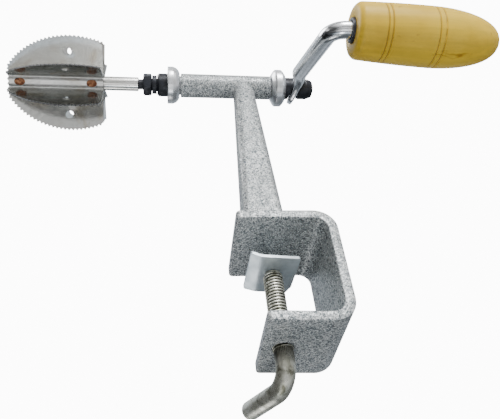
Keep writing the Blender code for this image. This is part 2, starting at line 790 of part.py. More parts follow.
def build_pad(look):
    """Bent sheet pad with a countersunk hole for the screw's peened spigot."""
    top = PAD_UNDER_Z + PAD_T
    edge = PAD_OUTLINE[0][0] - 1.0
    rise = PAD_FOLD_RISE * (PAD_FOLD_X - edge) / (PAD_FOLD_X - PAD_OUTLINE[0][0])
    strip = [
        (edge, PAD_UNDER_Z + rise), (PAD_FOLD_X, PAD_UNDER_Z), (16.0, PAD_UNDER_Z), (16.0, top), (PAD_FOLD_X, top),
        (edge, top + rise),
    ]
    strip = list(reversed(strip))
    made = prism("pressure_pad", strip, -20.0, 20.0, lambda u, v, h: Vector((u, h, v)), look)
    block = prism(
        "cut_pad_outline", PAD_OUTLINE, PAD_UNDER_Z - 5.0, top + 8.0, lambda u, v, h: Vector((u, v, h)), None, CUTTERS,
    )
    combine(made, cutter(block), "INTERSECT")
    hole = drill("cut_pad_hole", (SCREW_X, 0.0, PAD_UNDER_Z), (0, 0, 1), SPIGOT_R + GAP, 10.0, 20)
    combine(made, hole, "DIFFERENCE")
    slope = (SINK_R - SPIGOT_R - GAP) / SINK_H
    cone = [(top + 1.0, 0.0), (top + 1.0, SINK_R + slope), (top - SINK_H, SPIGOT_R + GAP), (top - SINK_H, 0.0)]
    sink = turned("cut_pad_countersink", cone, look, 20, group=CUTTERS)
    sink.location = point(SCREW_X, 0.0, 0.0)
    combine(made, cutter(sink), "DIFFERENCE")
    return bake(made)


def build():
    paint = material("hammered_paint", (0.52, 0.53, 0.54), 0.45, 0.6)
    zinc = material("bright_zinc", (0.78, 0.79, 0.80), 0.28, 1.0)
    oxide = material("black_oxide", (0.03, 0.032, 0.04), 0.45, 0.7)
    rod_steel = material("spindle_steel", (0.62, 0.60, 0.57), 0.3, 1.0)
    blade = material("stainless_blade", (0.66, 0.65, 0.62), 0.35, 1.0)
    chrome = material("crank_chrome", (0.72, 0.73, 0.74), 0.18, 1.0)
    ball = material("bearing_steel", (0.80, 0.80, 0.80), 0.12, 1.0)
    wood = material("yellow_lacquered_wood", (0.55, 0.36, 0.10), 0.35, 0.0)
    bush = material("ferrule_steel", (0.10, 0.09, 0.08), 0.5, 0.8)
    screw = material("screw_zinc", (0.62, 0.60, 0.48), 0.3, 1.0)
    pad = material("galvanised_sheet", (0.62, 0.66, 0.68), 0.4, 0.9)
    build_bracket(paint)
    build_post(paint)
    build_barrel(paint)
    build_cup_left(zinc)
    build_cup_right(zinc)
    build_balls(ball)
    build_shaft(rod_steel)
    build_cone_left(oxide)
    build_cone_right(oxide)
    build_collar(oxide)
    build_lock_nut(oxide)
    build_washer(oxide)
    build_end_nut(oxide)
    for number in range(1, LEAF_COUNT + 1):
        build_leaf(number, blade)
    build_crank(chrome)
    build_grip(wood)
    build_ferrule(bush)
    build_screw(screw)
    build_pad(pad)


build()
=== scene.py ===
"""Looks of the table-clamp rotary coconut scraper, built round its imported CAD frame.

Shapes are worked out in millimetres in the frame's own axes: the origin is on the
post's axis at the clamp's seat, X runs along the spindle and Z is up.
"""

import math

import bmesh
import bpy
from mathutils import Matrix, Vector


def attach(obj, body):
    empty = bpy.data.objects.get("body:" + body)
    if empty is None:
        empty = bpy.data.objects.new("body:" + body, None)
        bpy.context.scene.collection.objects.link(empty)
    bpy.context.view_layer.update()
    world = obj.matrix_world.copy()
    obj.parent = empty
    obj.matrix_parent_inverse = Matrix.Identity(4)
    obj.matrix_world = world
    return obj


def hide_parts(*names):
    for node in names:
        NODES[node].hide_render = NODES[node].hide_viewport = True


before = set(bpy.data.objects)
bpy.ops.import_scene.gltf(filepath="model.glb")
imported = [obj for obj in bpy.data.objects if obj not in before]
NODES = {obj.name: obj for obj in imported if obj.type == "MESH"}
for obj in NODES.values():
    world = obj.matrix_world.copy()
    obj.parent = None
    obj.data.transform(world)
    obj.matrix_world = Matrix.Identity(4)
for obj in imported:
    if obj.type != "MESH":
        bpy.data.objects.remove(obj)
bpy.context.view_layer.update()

MM = 0.001
GAP = 0.3
TRIM = 0.1  # the grip and the screw's rod are drawn in this far, to stay inside the CAD's facets
TOOTH_TRIM = 0.01  # and the head's teeth this far

# Driving sizes, in millimetres, shared with the CAD
AXIS_Z = 137.5
BAR_T, BAR_HALF_W = 5.0, 25.0
TOP_OPEN_X, BOTTOM_OPEN_X, BACK_OUT_X = -17.5, -8.5, 32.5
JAW_H, BEND_OUT, JAW_CORNER, JAW_RISE = 54.0, 11.5, 2.2, 1.3
POST_BASE, POST_TOP = (11.2, 10.5, 3.0), (6.5, 6.8, 5.6)
BARREL_R, BARREL_BORE, BARREL_X = 7.75, 6.3, (-41.4, 18.2)
SHAFT_R, THREAD_R, SHAFT_LEFT, SHAFT_RIGHT = 4.5, 4.0, -149.0, 47.7
UNDERCUT_R, UNDERCUT_X = 3.3, (-69.0, -66.2)
BORE_R, RACE_R, CONE_R, COLLAR_R, COLLAR_X = 4.3, 6.3, 7.5, 6.0, (-60.15, -57.15)
NUT_R, NUT_FLATS, NUT_TURN, LOCK_NUT_X = 7.4, 13.0, -36.0, (-65.9, -60.45)
HEAD_FRONT, HEAD_REAR = -150.2 + TOOTH_TRIM, -91.0
HEAD_APEX_X, HEAD_APEX_R, HEAD_ARC_R = -110.5, 31.8 - TOOTH_TRIM, 48.0
LEAF_COUNT, LEAF_TURN, WING_SPLAY, WING_OFFSET, WING_ROOT = 4, -56.6, 18.0, 2.52, 6.1
SHEET_T, WEB_HALF_W = 0.8, 4.5
TOOTH_PITCH, TOOTH_H = 2.55, 1.2
LEAF_HOLE_X, LEAF_HOLE_R, LEAF_HOLE_RADIUS = -112.3, 21.5, 2.5
CRANK_RADIUS, CRANK_ANGLE, ROD_R, CORNER_X, CRANK_BEND = 81.0, -29.0, 4.9, 40.0, 10.0
BOW, BOW_AT, BOW_FROM, GRIP_LEAN = 4.0, 25.0, 7.0, 2.8
EYE_X, EYE_R, EYE_T, EYE_TILT = 36.9, 11.5, 4.2, 28.0
ROD_END_X, GRIP_X, GRIP_LEN, GRIP_R = 118.0, 51.0, 85.5, 17.1
FERRULE_R, FERRULE_LEN, FERRULE_PROUD = 6.9, 6.0, 1.2
GROOVES = (15.4, 17.9, 44.2, 47.6)
SCREW_X, SCREW_R, SCREW_ROOT_R, SCREW_PITCH = 1.5, 5.0, 4.15, 1.7
SCREW_TOP_Z, SCREW_TURNS, SCREW_ROD_R = -18.6, 24, 4.75
HANDLE_CORNER_Z, HANDLE_BEND, HANDLE_LEN = -76.4, 9.6, 35.0
HANDLE_AZIMUTH, HANDLE_RISE = 113.2, 4.6
PAD_UNDER_Z, PAD_T, PAD_FOLD_X, PAD_FOLD_RISE = -16.2, 1.5, -5.5, 2.0
PAD_OUTLINE = (
    (-10.6, -14.9), (14.3, -12.3), (13.2, 12.0), (10.8, 17.3), (3.0, 16.4), (-5.5, 15.6), (-11.5, 16.0),
)
SPIGOT_R, SINK_H = 3.0, 1.1

# Finer details, in millimetres
WEB_CROWN, FOLD_R = 0.45, 1.5
FINE_PITCH, FINE_DEPTH = 1.25, 0.62
WELD_X = (("front", -142.5), ("rear", -98.3))
WELD_HALF_L, WELD_HALF_W = 3.4, 2.3
WELD_DOME = ((-0.55, 1.0), (0.06, 0.98), (0.20, 0.88), (0.16, 0.62), (0.02, 0.35), (0.0, 0.1))
GROOVE_HALF_W, GROOVE_DEPTH = 0.55, 0.55
# The crank's neck: distance from the eye, half thickness and half width
NECK = (
    (8.6, 2.14, 8.9), (11.0, 2.25, 7.9), (13.5, 2.7, 7.0), (16.0, 3.3, 6.25),
    (18.6, 3.9, 5.7), (21.2, 4.4, 5.25), (23.2, 4.7, 5.0), (BOW_AT, ROD_R, ROD_R),
)

X_AXIS = Vector((1, 0, 0))
SPINDLE = Vector((0, 0, AXIS_Z))

# The viewpoint, in millimetres, and its directions
VIEW_AT = Vector((-53.32, -245.13, -190.34))
VIEW_RIGHT = Vector((0.9896, -0.1075, -0.0957)).normalized()
VIEW_BACK = VIEW_RIGHT.cross(Vector((0.0002, -0.6641, 0.7476))).normalized()
VIEW_UP = VIEW_BACK.cross(VIEW_RIGHT).normalized()
LENS, SENSOR_W = 43.22, 36.0

# Stage and light: places and sizes in metres, lights as name, place, target, size and watts
FLOOR_Z, FLOOR_SIZE = -0.36, 6.0
LIGHTS = (
    ("key", (0.15, -0.90, 0.62), (0, 0, 0.06), (0.5, 0.4), 11.5),
    ("top", (-0.75, 0.15, 1.1), (0, 0, 0.1), (0.7, 0.6), 11.0),
    ("rear", (-0.20, 0.56, -0.39), (0, 0, -0.02), (0.26, 0.26), 0.65),
    ("below", (-0.07, -0.03, -0.34), (0, 0, -0.03), (0.08, 0.08), 0.16),
    ("left", (-0.90, -0.28, 0.45), (0, 0, 0), (0.12, 0.5), 0.30),
)
WORLD_LIGHT, BACKDROP = 1.0, 12.0
# Brightness of the surroundings: by turn about the view's sideways axis, and from -X to +X
BANDS = (
    (0.00, 1.10), (0.06, 1.00), (0.074, 0.06), (0.090, 0.06), (0.10, 0.80), (0.125, 0.60),
    (0.144, 0.06), (0.19, 0.13), (0.325, 0.19), (0.34, 1.3), (0.365, 1.3), (0.393, 0.03),
    (0.412, 0.03), (0.42, 1.7), (0.443, 1.7), (0.449, 0.30), (0.456, 1.7), (0.480, 1.9),
    (0.488, 0.03), (0.505, 0.03), (0.514, 0.9), (0.54, 0.92), (0.565, 0.95), (0.573, 0.05),
    (0.587, 0.05), (0.60, 1.1), (0.66, 1.5), (0.75, 1.2), (0.770, 0.08), (0.785, 0.08),
    (0.80, 1.0), (0.90, 1.0),
)
SIDES = ((0.0, 0.05), (0.14, 0.12), (0.26, 0.75), (0.36, 1.15), (0.5, 1.0), (1.0, 0.6))


# Materials


class Tree:
    """A node tree wrapped so that a look reads as a short recipe."""

    def __init__(self, tree, coords="Object"):
        self.nodes, self.links = tree.nodes, tree.links
        self.coords = self.node("TexCoord").outputs[coords]

    def plug(self, socket, value):
        """Link a socket to another one, or set its value."""
        if isinstance(value, bpy.types.NodeSocket):
            self.links.new(value, socket)
        else:
            socket.default_value = value

    def fill(self, node, **inputs):
        for key, value in inputs.items():
            self.plug(node.inputs[key.replace("_", " ")], value)
        return node

    def node(self, kind, **inputs):
        return self.fill(self.nodes.new("ShaderNode" + kind), **inputs)

    def stretched(self, scale):
        return self.node("Mapping", Scale=scale, Vector=self.coords).outputs["Vector"]

    def noise(self, scale, detail=3.0, rough=0.55, warp=0.0, vector=None):
        return self.node(
            "TexNoise", Scale=scale, Detail=detail, Roughness=rough, Distortion=warp,
            Vector=vector or self.coords,
        ).outputs["Fac"]

    def cells(self, scale):
        return self.node("TexVoronoi", Scale=scale, Vector=self.coords).outputs["Distance"]

    def hollows(self, low, high):
        """From 0 in sharp hollows to 1 elsewhere."""
        return self.span(self.node("NewGeometry").outputs["Pointiness"], low, high, 0.0, 1.0)

    def ramp(self, source, *stops):
        """A colour ramp of (place, colour) stops, each colour a grey number or RGB."""
        node = self.node("ValToRGB", Fac=source)
        elements = node.color_ramp.elements
        while len(elements) < len(stops):
            elements.new(0.5)
        for element, (place, colour) in zip(elements, stops):
            element.position = place
            element.color = (*colour, 1.0) if isinstance(colour, tuple) else (*[colour] * 3, 1.0)
        return node.outputs["Color"]

    def span(self, source, low, high, to_low, to_high):
        return self.node(
            "MapRange", Value=source, From_Min=low, From_Max=high, To_Min=to_low, To_Max=to_high,
        ).outputs["Result"]

    def mix(self, share, first, second, blend="MIX"):
        node = self.node("Mix")
        node.data_type = "RGBA"
        node.blend_type = blend
        for place, value in ((0, share), (6, first), (7, second)):
            self.plug(node.inputs[place], (*value, 1.0) if isinstance(value, tuple) else value)
        return node.outputs[2]

    def times(self, first, *others, share=1.0):
        """Colours multiplied together."""
        for other in others:
            first = self.mix(share, first, other, "MULTIPLY")
        return first


class Look(Tree):
    """A material's node tree, with its one shader."""

    def __init__(self, name):
        self.material = bpy.data.materials.new(name)
        self.material.use_nodes = True
        super().__init__(self.material.node_tree)
        self.shader = self.nodes["Principled BSDF"]

    def set(self, **values):
        self.fill(self.shader, **values)

    def bump(self, height, depth, strength, after=None):
        """Bump with its depth in metres, over an earlier bump if one is given."""
        node = self.node("Bump", Strength=strength, Distance=depth, Height=height)
        if after is not None:
            self.fill(node, Normal=after)
        self.set(Normal=node.outputs["Normal"])
        return node.outputs["Normal"]


def hammered_paint():
    """Silver hammer finish: pale islands between dark wandering veins, with dark specks."""
    look = Look("hammered_silver_paint")
    veins = look.noise(640.0, 2.0, 0.6, 2.2)
    shade = look.ramp(
        veins, (0.38, (0.13, 0.155, 0.17)), (0.465, (0.36, 0.395, 0.41)),
        (0.53, (0.66, 0.69, 0.69)), (0.61, (0.90, 0.92, 0.91)),
    )
    grain = look.ramp(look.noise(1400.0, 2.0, 0.6, 0.8), (0.38, 0.50), (0.54, 1.0))
    tone = look.ramp(look.noise(34.0, 3.0, 0.5), (0.35, 0.85), (0.65, 1.0))
    specks = look.ramp(look.cells(210.0), (0.055, 0.12), (0.10, 1.0))
    look.set(
        Base_Color=look.times(shade, grain, tone, specks), Specular_IOR_Level=0.2,
        Roughness=look.span(veins, 0.35, 0.62, 0.50, 0.33),
        Metallic=look.span(veins, 0.40, 0.55, 0.15, 0.35),
    )
    look.bump(veins, 0.00018, 0.8)
    return look.material


def bright_zinc():
    """Bright plating with faint turning marks."""
    look = Look("bright_plated_steel")
    turning = look.noise(900.0, 2.0, 0.5, 0.0, look.stretched((1.0, 0.04, 0.04)))
    patch = look.noise(160.0, 3.0, 0.55)
    colour = look.ramp(patch, (0.35, (0.74, 0.76, 0.78)), (0.62, (0.88, 0.89, 0.90)))
    look.set(Base_Color=colour, Metallic=0.85, Roughness=look.span(patch, 0.35, 0.65, 0.40, 0.24))
    look.bump(turning, 0.00003, 0.35)
    return look.material


def black_oxide():
    """Blued black steel."""
    look = Look("blued_black_steel")
    patch = look.noise(260.0, 3.0, 0.6)
    colour = look.ramp(patch, (0.35, (0.010, 0.011, 0.015)), (0.65, (0.024, 0.027, 0.036)))
    look.set(Base_Color=colour, Metallic=0.35, Roughness=look.span(patch, 0.35, 0.65, 0.52, 0.34))
    look.bump(look.noise(1200.0, 2.0), 0.00004, 0.4)
    return look.material


def turned_steel():
    """Bright drawn rod with faint stains."""
    look = Look("turned_spindle_steel")
    drawn = look.noise(700.0, 2.0, 0.5, 0.0, look.stretched((0.03, 1.0, 1.0)))
    stain = look.noise(60.0, 4.0, 0.6)
    colour = look.ramp(stain, (0.35, (0.66, 0.65, 0.61)), (0.65, (0.82, 0.81, 0.78)))
    look.set(Base_Color=colour, Metallic=1.0, Roughness=look.span(drawn, 0.3, 0.7, 0.16, 0.26))
    look.bump(drawn, 0.00002, 0.25)
    return look.material


def stainless_blade():
    """Rolled stainless sheet with faint grain, tarnish and fingerprints."""
    look = Look("stainless_sheet")
    rolled = look.noise(900.0, 2.0, 0.5, 0.0, look.stretched((0.03, 1.0, 1.0)))
    smear = look.noise(190.0, 3.0, 0.6, 1.2)
    tarnish = look.ramp(
        look.noise(70.0, 5.0, 0.6, 0.4),
        (0.32, (0.45, 0.41, 0.345)), (0.44, (0.53, 0.525, 0.50)), (0.68, (0.59, 0.595, 0.58)),
    )
    dull = look.ramp(smear, (0.35, 0.62), (0.65, 0.98))
    look.set(
        Base_Color=look.times(tarnish, dull, share=0.25), Metallic=1.0,
        Specular_Tint=(0.42, 0.44, 0.44, 1.0), Roughness=look.span(smear, 0.35, 0.65, 0.25, 0.17),
    )
    look.bump(rolled, 0.000012, 0.15)
    return look.material


def cut_edge_painted_shade():
    """Punched edge of the stainless sheet, darkened as painted shade."""
    look = Look("cut_edge_steel_painted_shade")
    torn = look.noise(1100.0, 3.0, 0.6)
    # Dark greys on the cut edge: painted shade
    colour = look.ramp(torn, (0.35, (0.16, 0.165, 0.17)), (0.65, (0.40, 0.40, 0.395)))
    look.set(Base_Color=colour, Metallic=0.7, Roughness=look.span(torn, 0.3, 0.7, 0.44, 0.30))
    look.bump(torn, 0.00008, 0.5)
    return look.material


def weld_copper():
    """Heat-browned spot weld."""
    look = Look("copper_brown_weld")
    patch = look.noise(500.0, 4.0, 0.65, 0.8)
    colour = look.ramp(
        patch, (0.32, (0.05, 0.018, 0.006)), (0.48, (0.22, 0.075, 0.025)), (0.62, (0.42, 0.20, 0.10)),
    )
    look.set(Base_Color=colour, Metallic=0.55, Roughness=look.span(patch, 0.3, 0.7, 0.6, 0.35))
    look.bump(patch, 0.0002, 0.7)
    return look.material


def crank_chrome():
    """Plated rod with shallow forging pits."""
    look = Look("plated_crank")
    pits = look.noise(420.0, 3.0, 0.6, 0.6)
    broad = look.noise(55.0, 2.0, 0.5)
    colour = look.ramp(broad, (0.35, (0.80, 0.81, 0.83)), (0.65, (0.93, 0.94, 0.95)))
    look.set(Base_Color=colour, Metallic=1.0, Roughness=look.span(pits, 0.35, 0.65, 0.27, 0.13))
    look.bump(pits, 0.00009, 0.4, after=look.bump(broad, 0.0006, 0.3))
    return look.material


def lacquered_wood():
    """Yellow lacquered hardwood with faint lengthwise grain, small marks and dark grooves."""
    look = Look("yellow_lacquered_wood")
    grain = look.noise(300.0, 4.0, 0.6, 0.3, look.stretched((0.07, 1.0, 1.0)))
    cloud = look.noise(32.0, 4.0, 0.55, 0.5)
    marks = look.noise(150.0, 3.0, 0.6, 0.8, look.stretched((0.35, 1.0, 1.0)))
    base = look.ramp(
        cloud, (0.34, (0.72, 0.45, 0.030)), (0.5, (0.84, 0.545, 0.038)), (0.66, (0.90, 0.60, 0.050)),
    )
    fibre = look.ramp(grain, (0.35, 0.86), (0.6, 1.0))
    spots = look.ramp(marks, (0.27, (0.55, 0.45, 0.30)), (0.36, 1.0))
    wood = look.times(base, fibre, spots)
    look.set(
        Base_Color=look.mix(look.hollows(0.455, 0.495), (0.13, 0.075, 0.018), wood),
        Roughness=look.span(cloud, 0.35, 0.65, 0.50, 0.36),
        Coat_Weight=0.05, Coat_Roughness=0.35, Specular_IOR_Level=0.25,
    )
    look.bump(grain, 0.00012, 0.35)
    return look.material


def screw_zinc():
    """Pale yellow plating, stained in patches, with painted shade in the thread's roots."""
    look = Look("pale_yellow_zinc")
    patch = look.noise(170.0, 4.0, 0.6, 0.6)
    dirt = look.noise(420.0, 3.0, 0.6)
    base = look.ramp(
        patch, (0.34, (0.20, 0.20, 0.15)), (0.42, (0.60, 0.60, 0.50)), (0.55, (0.90, 0.90, 0.80)),
    )
    # Near-black mixed into the thread's roots: painted shade
    colour = look.mix(look.hollows(0.47, 0.55), (0.045, 0.04, 0.025), base)
    look.set(Base_Color=colour, Metallic=0.72, Roughness=look.span(dirt, 0.35, 0.65, 0.44, 0.24))
    look.bump(patch, 0.0002, 0.4)
    return look.material


def galvanised_sheet():
    """Blue-grey galvanised sheet with faint spangle."""
    look = Look("galvanised_sheet")
    spangle = look.cells(260.0)
    cloud = look.noise(90.0, 3.0, 0.55)
    base = look.ramp(cloud, (0.35, (0.52, 0.60, 0.64)), (0.65, (0.70, 0.77, 0.81)))
    colour = look.times(base, look.ramp(spangle, (0.1, 0.7), (0.6, 1.0)), share=0.25)
    look.set(Base_Color=colour, Metallic=0.55, Roughness=look.span(cloud, 0.35, 0.65, 0.42, 0.30))
    look.bump(spangle, 0.00004, 0.3)
    return look.material


def ferrule_steel():
    look = Look("dark_ferrule_steel")
    patch = look.noise(300.0, 3.0, 0.6)
    colour = look.ramp(patch, (0.35, (0.02, 0.022, 0.03)), (0.65, (0.07, 0.075, 0.09)))
    look.set(Base_Color=colour, Metallic=0.5, Roughness=look.span(patch, 0.35, 0.65, 0.55, 0.38))
    look.bump(patch, 0.00005, 0.4)
    return look.material


def bearing_steel():
    look = Look("ball_steel")
    patch = look.noise(500.0, 2.0)
    colour = look.ramp(patch, (0.3, 0.72), (0.7, 0.85))
    look.set(Base_Color=colour, Metallic=1.0, Roughness=look.span(patch, 0.3, 0.7, 0.08, 0.16))
    return look.material


# Shape tools


def shade(mesh, smooth):
    """Smooth shading that stays sharp over an angle in degrees."""
    for face in mesh.polygons:
        face.use_smooth = True
    mesh.set_sharp_from_angle(angle=math.radians(smooth))


def add_object(name, mesh, look, smooth=30.0):
    made = bpy.data.objects.new(name, mesh)
    bpy.context.scene.collection.objects.link(made)
    if look:
        mesh.materials.append(look)
    shade(mesh, smooth)
    return made


def primitive(name, create, place=Matrix(), look=None, **sizes):
    """An object made by one of bmesh's own shapes."""
    mesh = bpy.data.meshes.new(name)
    work = bmesh.new()
    create(work, **sizes)
    work.transform(place)
    work.to_mesh(mesh)
    work.free()
    return add_object(name, mesh, look)


def mesh_object(name, verts, faces, look, smooth=30.0):
    """An object from corners in millimetres."""
    mesh = bpy.data.meshes.new(name)
    mesh.from_pydata([tuple(Vector(v) * MM) for v in verts], [], list(faces))
    mesh.update()
    return add_object(name, mesh, look, smooth)


def rounded(stations, radius, steps, closed=False):
    """A polyline with its corners rounded; points are (along, across) pairs."""
    made = []
    count = len(stations)
    for i, here in enumerate(stations):
        if not closed and i in (0, count - 1):
            made.append(tuple(here))
            continue
        here = Vector(here)
        before = Vector(stations[(i - 1) % count]) - here
        after = Vector(stations[(i + 1) % count]) - here
        turn = math.pi - before.angle(after)
        if turn < 0.12:
            made.append(tuple(here))
            continue
        room = 0.45 * min(before.length, after.length)
        cut = min(radius * math.tan(turn / 2), room)
        first = here + before.normalized() * cut
        last = here + after.normalized() * cut
        for k in range(steps + 1):
            t = k / steps
            bend = first * (1 - t) ** 2 + here * 2 * t * (1 - t) + last * t ** 2
            made.append(tuple(bend))
    return made


def turned(name, profile, look, steps, closed=False, line=SPINDLE, smooth=35.0):
    """Turn (x, radius) stations, listed from +X to -X on the outer side, about a line along X."""
    verts = []
    rings = []
    for x, radius in profile:
        count = 1 if radius < 1e-6 else steps
        rings.append(list(range(len(verts), len(verts) + count)))
        for i in range(count):
            angle = 2 * math.pi * i / steps
            y, z = radius * math.cos(angle), radius * math.sin(angle)
            verts.append(Vector((x, line.y + y, line.z + z)))
    faces = []
    pairs = list(zip(rings, rings[1:]))
    if closed:
        pairs.append((rings[-1], rings[0]))
    for first, second in pairs:
        for i in range(steps):
            j = (i + 1) % steps
            if len(first) == 1:
                faces.append((first[0], second[i], second[j]))
            elif len(second) == 1:
                faces.append((first[i], second[0], first[j]))
            else:
                faces.append((first[i], second[i], second[j], first[j]))
    return mesh_object(name, verts, faces, look, smooth)


def ring_piece(name, outer, inner, look, radius, steps=72, line=SPINDLE):
    """A ring with softened corners, from its outer and inner stations, each from +X to -X."""
    profile = rounded(outer + inner[::-1], radius, 3, closed=True)
    return turned(name, profile, look, steps, closed=True, line=line)


def bored_ring(name, outer, look, radius, steps=64):
    """A ring bored for the spindle, from its outer stations."""
    inner = [(outer[0][0], BORE_R), (outer[-1][0], BORE_R)]
    return ring_piece(name, outer, inner, look, radius, steps)


def prism(name, outline, low, high, place, look=None):
    """A flat outline extruded between two heights; place maps (u, v, h) to a point in mm."""
    count = len(outline)
    verts = [place(u, v, low) for u, v in outline] + [place(u, v, high) for u, v in outline]
    faces = [tuple(range(count - 1, -1, -1)), tuple(range(count, 2 * count))]
    for i in range(count):
        after = (i + 1) % count
        faces.append((i, after, count + after, count + i))
    return mesh_object(name, verts, faces, look)


def side_on(u, v, h):
    """Place for a prism whose outline lies in X and Z."""
    return Vector((u, h, v))


def arc(cx, cy, radius, start, end, steps):
    """Points on an arc, its angles in degrees."""
    made = []
    for i in range(steps + 1):
        angle = math.radians(start + (end - start) * i / steps)
        made.append((cx + radius * math.cos(angle), cy + radius * math.sin(angle)))
    return made


def loft(name, rings, look, smooth=30.0):
    """Skin closed rings of equal count."""
    size = len(rings[0])
    verts = [v for ring in rings for v in ring]
    faces = [tuple(range(size - 1, -1, -1))]
    for k in range(len(rings) - 1):
        for i in range(size):
            after = (i + 1) % size
            here, above = k * size, (k + 1) * size
            faces.append((here + i, here + after, above + after, above + i))
    last = (len(rings) - 1) * size
    faces.append(tuple(range(last, last + size)))
    return mesh_object(name, verts, faces, look, smooth)


def section(centre, thick_dir, wide_dir, half_t, half_w, power, count=36):
    """Superellipse ring about a centre."""
    ring = []
    for i in range(count):
        angle = 2 * math.pi * (i + 0.5) / count
        c, s = math.cos(angle), math.sin(angle)
        u = math.copysign(abs(c) ** (2 / power), c) * half_t
        v = math.copysign(abs(s) ** (2 / power), s) * half_w
        ring.append(centre + thick_dir * u + wide_dir * v)
    return ring


def face_out(made):
    """Recompute outward faces."""
    work = bmesh.new()
    work.from_mesh(made.data)
    bmesh.ops.recalc_face_normals(work, faces=work.faces)
    work.to_mesh(made.data)
    work.free()


def combine(made, other, operation):
    """Exact Boolean with another object, which is used up."""
    face_out(made)
    face_out(other)
    step = made.modifiers.new(operation.lower(), "BOOLEAN")
    step.operation = operation
    step.solver = "EXACT"
    step.object = other
    bake(made)
    bpy.data.objects.remove(other, do_unlink=True)
    return made


def bake(made, smooth=30.0):
    """Swap an object's modifiers for their result."""
    graph = bpy.context.evaluated_depsgraph_get()
    graph.update()
    result = bpy.data.meshes.new_from_object(made.evaluated_get(graph))
    result.name = made.name
    work = bmesh.new()
    work.from_mesh(result)
    bmesh.ops.remove_doubles(work, verts=work.verts, dist=0.000002)
    bmesh.ops.dissolve_degenerate(work, edges=work.edges, dist=0.000001)
    work.to_mesh(result)
    work.free()
    made.modifiers.clear()
    made.data = result
    shade(result, smooth)


def soften(made, width, segments, angle):
    """Round the edges that turn by more than an angle."""
    bevel = made.modifiers.new("soften", "BEVEL")
    bevel.limit_method = "ANGLE"
    bevel.angle_limit = math.radians(angle)
    bevel.width = width * MM
    bevel.segments = segments
    bake(made, 40.0)


def drill(centre, direction, radius, length, steps):
    """A cylinder to cut a hole with."""
    turn = Vector(direction).to_track_quat("Z", "Y").to_matrix().to_4x4()
    size = radius * MM
    return primitive(
        "drill", bmesh.ops.create_cone, Matrix.Translation(Vector(centre) * MM) @ turn,
        cap_ends=True, segments=steps, radius1=size, radius2=size, depth=length * MM,
    )


def finish_piece(made, body, slot, *nodes):
    """The piece rides on a body and stands for CAD nodes; its slot is not used."""
    face_out(made)
    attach(made, body)
    if nodes:
        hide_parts(*nodes)


# Frame


def bracket_outline():
    """The bent bar seen from the side, in (x, z)."""
    inner = BEND_OUT - BAR_T
    cx = BACK_OUT_X - BEND_OUT
    top_c, low_c = BAR_T - BEND_OUT, -JAW_H - BAR_T + BEND_OUT
    steps = 14
    outline = [(TOP_OPEN_X, BAR_T)]
    outline += arc(cx, top_c, BEND_OUT, 90.0, 0.0, steps)
    outline += arc(cx, low_c, BEND_OUT, 0.0, -90.0, steps)
    outline += [(BOTTOM_OPEN_X, -JAW_H - BAR_T + JAW_RISE), (BOTTOM_OPEN_X, -JAW_H + JAW_RISE)]
    outline += arc(cx, low_c, inner, -90.0, 0.0, steps)
    outline += arc(cx, top_c, inner, 0.0, 90.0, steps)
    outline += [(TOP_OPEN_X, 0.0)]
    return outline


def round_jaw_corners(made):
    """Round the upright edges at the free ends of both jaws."""
    weights = made.data.attributes.new("bevel_weight_edge", "FLOAT", "EDGE")
    for edge in made.data.edges:
        a, b = (made.data.vertices[i].co for i in edge.vertices)
        upright = abs(a.x - b.x) < 1e-6 and abs(a.y - b.y) < 1e-6
        at_end = min(abs(a.x - TOP_OPEN_X * MM), abs(a.x - BOTTOM_OPEN_X * MM)) < 1e-6
        if upright and at_end:
            weights.data[edge.index].value = 1.0
    bevel = made.modifiers.new("corners", "BEVEL")
    bevel.limit_method = "WEIGHT"
    bevel.width = JAW_CORNER * MM
    bevel.segments = 8
    bake(made)


def build_bracket(look):
    made = prism("bracket_bar", bracket_outline(), -BAR_HALF_W, BAR_HALF_W, side_on, look)
    face_out(made)
    round_jaw_corners(made)
    soften(made, 0.55, 3, 50.0)
    hole = (SCREW_X, 0, -JAW_H - BAR_T / 2)
    combine(made, drill(hole, (0, 0, 1), SCREW_R + GAP, 12.0, 64), "DIFFERENCE")
    bake(made, 40.0)
    finish_piece(made, "frame", "hammered_paint", "clamp_bracket")


def build_post(look):
    """Post tapering from a rounded square to a nearly round top, saddled under the barrel."""
    rings = []
    steps = 16
    for k in range(steps + 1):
        t = k / steps
        half_x, half_y, corner = (a + (b - a) * t for a, b in zip(POST_BASE, POST_TOP))
        z = BAR_T + GAP + (AXIS_Z - 1.0 - BAR_T - GAP) * t
        ring = []
        for sx, sy, start in ((1, 1, 0), (-1, 1, 90), (-1, -1, 180), (1, -1, 270)):
            quarter = arc(sx * (half_x - corner), sy * (half_y - corner), corner, start, start + 90, 8)
            ring += [Vector((x, y, z)) for x, y in quarter]
        rings.append(ring)
    made = loft("post_shell", rings, look)
    combine(made, drill((0, 0, AXIS_Z), (1, 0, 0), BARREL_R + GAP * 0.3, 40.0, 96), "DIFFERENCE")
    finish_piece(made, "frame", "hammered_paint", "post")


def build_barrel(look):
    left, right = BARREL_X
    outer = [(right, BARREL_R), (left, BARREL_R)]
    inner = [(right, BARREL_BORE), (left, BARREL_BORE)]
    made = ring_piece("barrel_shell", outer, inner, look, 0.5)
    finish_piece(made, "frame", "hammered_paint", "barrel_tube")


